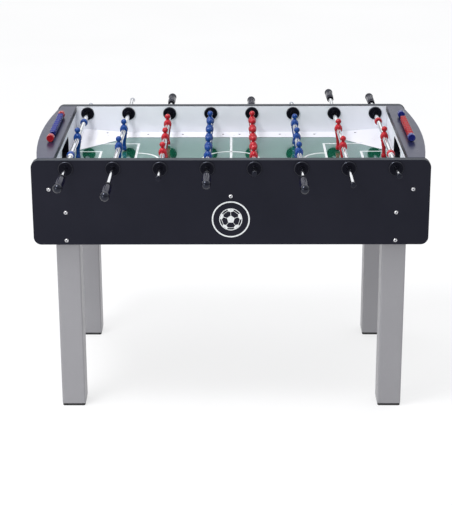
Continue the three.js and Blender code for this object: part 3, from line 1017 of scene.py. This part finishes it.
def build_end_cap(n, axis):
    """A plug over the plain end of a bar: milky at the back, and black at the front, where the black is
    painted in for the dark panel that shows through the clear cap.
    """
    low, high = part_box(f"rod_{n}_end_cap")
    front = (low.y + high.y) / 2 < 0
    inner_end = high.y if front else low.y
    length, radius = high.y - low.y, (high.z - low.z) / 2
    outline = [(BORE_RADIUS - 0.2 * MM, 0), (radius, 0), (radius, length - 2.5 * MM),
               (radius * 0.72, length), (0, length)]
    bm = bmesh.new()
    turned(bm, [(0, 0.5 * MM), *rounded(outline, 2.2 * MM, 4)], 40)
    place = Matrix.Translation((axis.x, inner_end, axis.z)) @ half_turn(front)
    # The front caps are drawn black: a painted dark for the panel seen through the clear cap.
    finish, slot = (BLACK_PLASTIC, "black_plastic") if front else (CLEAR, "clear_plastic")
    solid_piece(f"rod_{n}_plug", bm, [finish], place, f"bar_{n}", slot, [f"rod_{n}_end_cap"])


def build_bearings(n):
    """Flanged bushes: a raised rim, a shallow dish and a hub on both faces of the panel."""
    for side in ("front", "back"):
        node = f"rod_{n}_bearing_{side}"
        low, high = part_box(node)
        centre = (low + high) / 2
        end, rim = (high.y - low.y) / 2, (high.z - low.z) / 2
        face = end - FLANGE_THICK
        barrel = 0.68 * rim
        dish = end - 1.1 * MM
        half = [
            (BORE_RADIUS, 0), (BORE_RADIUS, end - 0.6 * MM), (BORE_RADIUS + 0.6 * MM, end),
            (0.43 * rim, end), (0.46 * rim, dish), (0.60 * rim, dish - 0.3 * MM),
            (0.63 * rim, end - 0.4 * MM), (rim - 2 * MM, end - 0.2 * MM), (rim, end - 2.6 * MM),
            (rim, face), (barrel, face), (barrel, 0),
        ]
        mirrored = [(r, -y) for r, y in reversed(half[1:-1])]
        bm = bmesh.new()
        turned(bm, rounded(half + mirrored, 0.7 * MM, 3, loop=True), 64, loop=True)
        # Painted highlight: the outer rim of each face gets the lighter finish.
        painted_highlight_from = face + 0.3 * (end - face)
        mark_faces(bm, 1, lambda p: math.hypot(p.x, p.z) > rim - 2.2 * MM and abs(p.y) > painted_highlight_from)
        solid_piece(f"{node}_bush", bm, [BEARING, RIM_GLOSS_AND_PAINTED_HIGHLIGHT], Matrix.Translation(centre),
                    f"rod_{n}_bearings", "black_plastic", [node])


def ring_on_bar(name, n, place, radius, width, material, slot, belly=0.0):
    """A collar round the bar with rounded edges. belly: how far its middle swells."""
    half = width / 2
    bore = BAR_RADIUS + 0.1 * MM
    outline = [(bore, -half), (radius - belly, -half), (radius, -half * 0.45), (radius, half * 0.45),
               (radius - belly, half), (bore, half)]
    bm = bmesh.new()
    turned(bm, rounded(outline, 2 * MM, 4, loop=True), 48, loop=True)
    bm.transform(Matrix.Translation(place))
    add_piece(name, smooth_mesh(name, bm, [material]), f"bar_{n}", slot)


def player_places(node):
    """The y of each player on a bar, read from where the heads of the CAD bar are."""
    axis_z = middle(f"{node}_bearing_front").z
    heads = sorted(v.co.y for v in frame["nodes"][node].data.vertices if v.co.z > axis_z + HEAD_LEVEL)
    groups = []
    for y in heads:
        if groups and y - groups[-1][-1] < 15 * MM:
            groups[-1].append(y)
        else:
            groups.append([y])
    return [(group[0] + group[-1]) / 2 for group in groups]


def build_bars(figures):
    """The eight bars, each with its tube, handle, end cap, bearings, players and stops."""
    for n in BAR_NUMBERS:
        node, team = f"rod_{n}", TEAM_OF_BAR[n]
        axis = middle(f"{node}_bearing_front")
        low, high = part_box(node)
        bm = bmesh.new()
        ends = [(0, low.y), (BAR_RADIUS, low.y), (BAR_RADIUS, high.y), (0, high.y)]
        turned(bm, rounded(ends, 0.5 * MM, 2), 40)
        place = Matrix.Translation((axis.x, 0, axis.z))
        solid_piece(f"{node}_tube", bm, [CHROME], place, f"bar_{n}", "chrome", [node])
        build_handle(n, axis)
        build_end_cap(n, axis)
        build_bearings(n)
        places = player_places(node)
        for index, y in enumerate(places):
            facing = Matrix.Rotation(0 if team == "blue" else math.pi, 4, "Z")
            place = Matrix.Translation((axis.x, y, axis.z)) @ facing
            add_piece(f"{node}_player_{index + 1}", figures[team], f"bar_{n}", f"{team}_bar", place=place)
        if len(places) == 1:
            build_stops(n, axis, places[0], team)


def build_stops(n, axis, centre_y, team):
    """Team-coloured stop collars with a white spacer outside each, on the goalkeepers' bars."""
    for label, sign in (("front", -1), ("back", 1)):
        y = centre_y + sign * STOP_PLACE
        ring_on_bar(f"rod_{n}_stop_{label}", n, (axis.x, y, axis.z), STOP_RADIUS, STOP_WIDTH,
                    TEAM[team], f"{team}_bar", belly=1.6 * MM)
        y += sign * (STOP_WIDTH + SPACER["width"]) / 2
        ring_on_bar(f"rod_{n}_spacer_{label}", n, (axis.x, y, axis.z), SPACER["radius"], SPACER["width"],
                    NYLON, "white_print")


# ---------------------------------------------------------------- players


def section(bm, z, half_x, half_y, power=2.4, shift_x=0.0, segments=28):
    """One level of a figure: an oval between round and square."""
    ring = []
    shape = square_shape(power)
    for k in range(segments):
        angle = 2 * math.pi * k / segments
        r = shape(angle, z)
        ring.append(bm.verts.new(((shift_x + half_x * r * math.cos(angle)) * MM,
                                  half_y * r * math.sin(angle) * MM, z * MM)))
    return ring


def loft(bm, levels):
    """A closed body through (z, half_x, half_y, power, shift_x) levels, in millimetres."""
    rings = [section(bm, *level) for level in levels]
    for lower, upper in zip(rings, rings[1:]):
        join_rings(bm, lower, upper)
    bm.faces.new(rings[0])
    bm.faces.new(rings[-1])


def ball(bm, centre, radii):
    """An ellipsoid, in millimetres."""
    place = Matrix.Translation(Vector(centre) * MM) @ Matrix.Diagonal((*(r * MM for r in radii), 1))
    bmesh.ops.create_uvsphere(bm, u_segments=28, v_segments=18, radius=1, matrix=place)


def limb(bm, start, end, radius_start, radius_end):
    """A tapered round limb between two points, in millimetres, with round ends."""
    a, b = Vector(start), Vector(end)
    steps = 10
    for k in range(steps + 1):
        t = k / steps
        r = radius_start + (radius_end - radius_start) * t
        ball(bm, a.lerp(b, t), (r, r, r))


def figure_solids():
    """The parts of one player about the bar's axis, facing +X. They overlap and are fused later."""
    parts = []

    def part(make, *args):
        bm = bmesh.new()
        make(bm, *args)
        parts.append(bm)

    part(loft, [
        (-72, 7.2, 10.4, 4), (-71, 8.0, 11.4, 4.5), (-63, 8.0, 11.6, 4.5), (-60.5, 7.4, 11.0, 4),
        (-58.5, 6.4, 10.0, 3.4), (-54, 6.0, 9.8, 3), (-46, 6.5, 10.2, 2.8), (-38, 6.8, 10.4, 2.8),
        (-34, 7.4, 10.8, 2.8), (-31, 8.4, 11.8, 2.8), (-28.5, 8.6, 12.0, 2.8), (-19, 9.6, 12.2, 2.6),
        (-12, 12.0, 12.4, 2.5),
    ])
    part(ball, (0, 0, 1.5), (14.2, 12.9, 15.8))
    part(loft, [(-6, 12.8, 12.4, 2.4), (4, 13.2, 13.0, 2.3), (11, 11.4, 13.4, 2.2), (15.5, 8.4, 11.6, 2.1),
                (18.5, 5.4, 7.6, 2)])
    part(loft, [(14, 5.8, 6.6, 2), (19, 5.0, 5.2, 2), (24, 5.2, 5.4, 2)])
    part(ball, (0.1, 0, 28.2), (9.9, 9.3, 9.8))
    part(ball, (9.2, 0, 27.4), (1.5, 1.2, 1.6))
    for side in (-1, 1):
        part(limb, (0.5, side * 11.4, 11.5), (1.8, side * 12.2, -3), 3.2, 3.0)
        part(limb, (1.8, side * 12.2, -3), (4.0, side * 11.4, -15), 3.0, 2.7)
        part(ball, (4.6, side * 11.2, -17), (3.0, 2.6, 3.4))
    bm = bmesh.new()
    turned(bm, rounded([(0, -12.5 * MM), (13 * MM, -12.5 * MM), (13 * MM, 12.5 * MM), (0, 12.5 * MM)],
                       2 * MM, 3), 48)
    parts.append(bm)
    return parts


def leg_groove(co):
    """Pulls the surface in along the middle so that the legs read as two."""
    if not -58 * MM < co.z < -31 * MM:
        return
    near = max(0.0, 1 - abs(co.y) / (3.2 * MM))
    if near > 0:
        along = math.sin(math.pi * (co.z + 58 * MM) / (27 * MM))
        co.x *= 1 - 0.42 * near * near * max(0.0, along) ** 0.6


def fused(name, parts):
    """One closed skin round overlapping solids."""
    bm = bmesh.new()
    for part in parts:
        bmesh.ops.recalc_face_normals(part, faces=part.faces)
        append(bm, part)
    rough = bpy.data.meshes.new(name)
    bm.to_mesh(rough)
    bm.free()
    carrier = bpy.data.objects.new(name, rough)
    bpy.context.scene.collection.objects.link(carrier)
    remesh = carrier.modifiers.new("skin", "REMESH")
    remesh.mode = "VOXEL"
    remesh.voxel_size = FIGURE_VOXEL
    smooth = carrier.modifiers.new("smooth", "SMOOTH")
    smooth.factor = 0.5
    smooth.iterations = 4
    thin = carrier.modifiers.new("thin", "DECIMATE")
    thin.ratio = 0.22
    graph = bpy.context.evaluated_depsgraph_get()
    skin = bpy.data.meshes.new_from_object(carrier.evaluated_get(graph))
    bpy.data.objects.remove(carrier)
    for vertex in skin.vertices:
        leg_groove(vertex.co)
    skin.polygons.foreach_set("use_smooth", [True] * len(skin.polygons))
    return skin


def make_figures():
    """One player mesh for each team. All the players of a team share it."""
    skin = fused("player", figure_solids())
    figures = {}
    for team in ("blue", "red"):
        mesh = skin.copy()
        mesh.name = f"{team}_player"
        mesh.materials.clear()
        mesh.materials.append(TEAM[team])
        figures[team] = mesh
    return figures


# ---------------------------------------------------------------- studio


def build_floor():
    """A white floor that is lit mostly from within, so that the table's shadow stays faint."""
    bm = bmesh.new()
    bmesh.ops.create_grid(bm, x_segments=2, y_segments=2, size=60)
    floor = bpy.data.objects.new("studio_floor", smooth_mesh("studio_floor", bm, []))
    bpy.context.scene.collection.objects.link(floor)
    floor.location.z = -0.2 * MM
    material, tree, shader = shader_of("studio_floor")
    tone = spread(tree, noise(tree, coordinates(tree), 0.8), 0, 1)
    tree.links.new(blend_colours(tree, tone, (0.27, 0.27, 0.275), (0.29, 0.29, 0.295)),
                   shader.inputs["Base Color"])
    shader.inputs["Roughness"].default_value = 0.9
    shader.inputs["Specular IOR Level"].default_value = 0.0
    shader.inputs["Emission Color"].default_value = (1, 1, 1, 1)
    shader.inputs["Emission Strength"].default_value = 0.72
    floor.data.materials.append(material)


def build_world():
    """A white room, brighter behind and to the left of the table than in front of it.

    A dark strip low on its walls gives the chrome its dark lines. Seen directly, the room is white.
    """
    world = bpy.data.worlds.new("studio")
    bpy.context.scene.world = world
    world.use_nodes = True
    tree = world.node_tree
    background = tree.nodes["Background"]
    direction = tree.nodes.new("ShaderNodeTexCoord")
    parts = tree.nodes.new("ShaderNodeSeparateXYZ")
    tree.links.new(direction.outputs["Generated"], parts.inputs["Vector"])
    depth = spread(tree, parts.outputs["Y"], 0.55, 1.22, -0.8, 0.5)
    side = spread(tree, parts.outputs["X"], 1.08, 0.88, -1, 1)
    in_strip = calculated(tree, "COMPARE", parts.outputs["Z"], STRIP["middle"], STRIP["half"])
    strip = spread(tree, in_strip, 1, STRIP["level"], 0, 1)
    level = calculated(tree, "MULTIPLY", calculated(tree, "MULTIPLY", depth, side), strip)
    rays = tree.nodes.new("ShaderNodeLightPath")
    seen = calculated(tree, "MAXIMUM", level, rays.outputs["Is Camera Ray"])
    tree.links.new(seen, background.inputs["Strength"])
    background.inputs["Color"].default_value = (0.98, 0.99, 1.0, 1)


def add_area_light(name, location, target, size, watts, colour=(1, 1, 1)):
    data = bpy.data.lights.new(name, "AREA")
    data.shape = "SQUARE"
    data.size = size
    data.energy = watts
    data.color = colour
    light = bpy.data.objects.new(name, data)
    bpy.context.scene.collection.objects.link(light)
    light.location = location
    light.rotation_mode = "QUATERNION"
    light.rotation_quaternion = (Vector(target) - Vector(location)).to_track_quat("-Z", "Y")


def build_lights():
    """A soft key light above the left front corner and a weak fill from the left."""
    add_area_light("key", (-1.25, -0.9, 3.6), (0, 0, 0.8), 1.1, 76)
    add_area_light("fill", (-2.2, -2.5, 1.5), (-0.2, 0, 0.5), 1.6, 22)


def build_camera():
    """The photograph's view, with a long lens and a small shift."""
    data = bpy.data.cameras.new("camera")
    data.sensor_width = 36
    data.lens = 100
    data.shift_y = -0.155
    data.clip_end = 200
    camera = bpy.data.objects.new("camera", data)
    bpy.context.scene.collection.objects.link(camera)
    camera.location = (0.0165, -4.6286, 2.1240)
    camera.rotation_euler = [math.radians(angle) for angle in (90 - 16.963, 0.194, 0.3625)]
    bpy.context.scene.camera = camera


# ---------------------------------------------------------------- the scene

build_camera()
build_world()
build_lights()
build_floor()
build_long_panels()
build_ends()
build_field()
build_field_lines()
build_legs()
build_bolts()
build_ramp_screws()
build_badge()
build_counters()
build_bars(make_figures())
bpy.context.scene.view_settings.view_transform = "Standard"
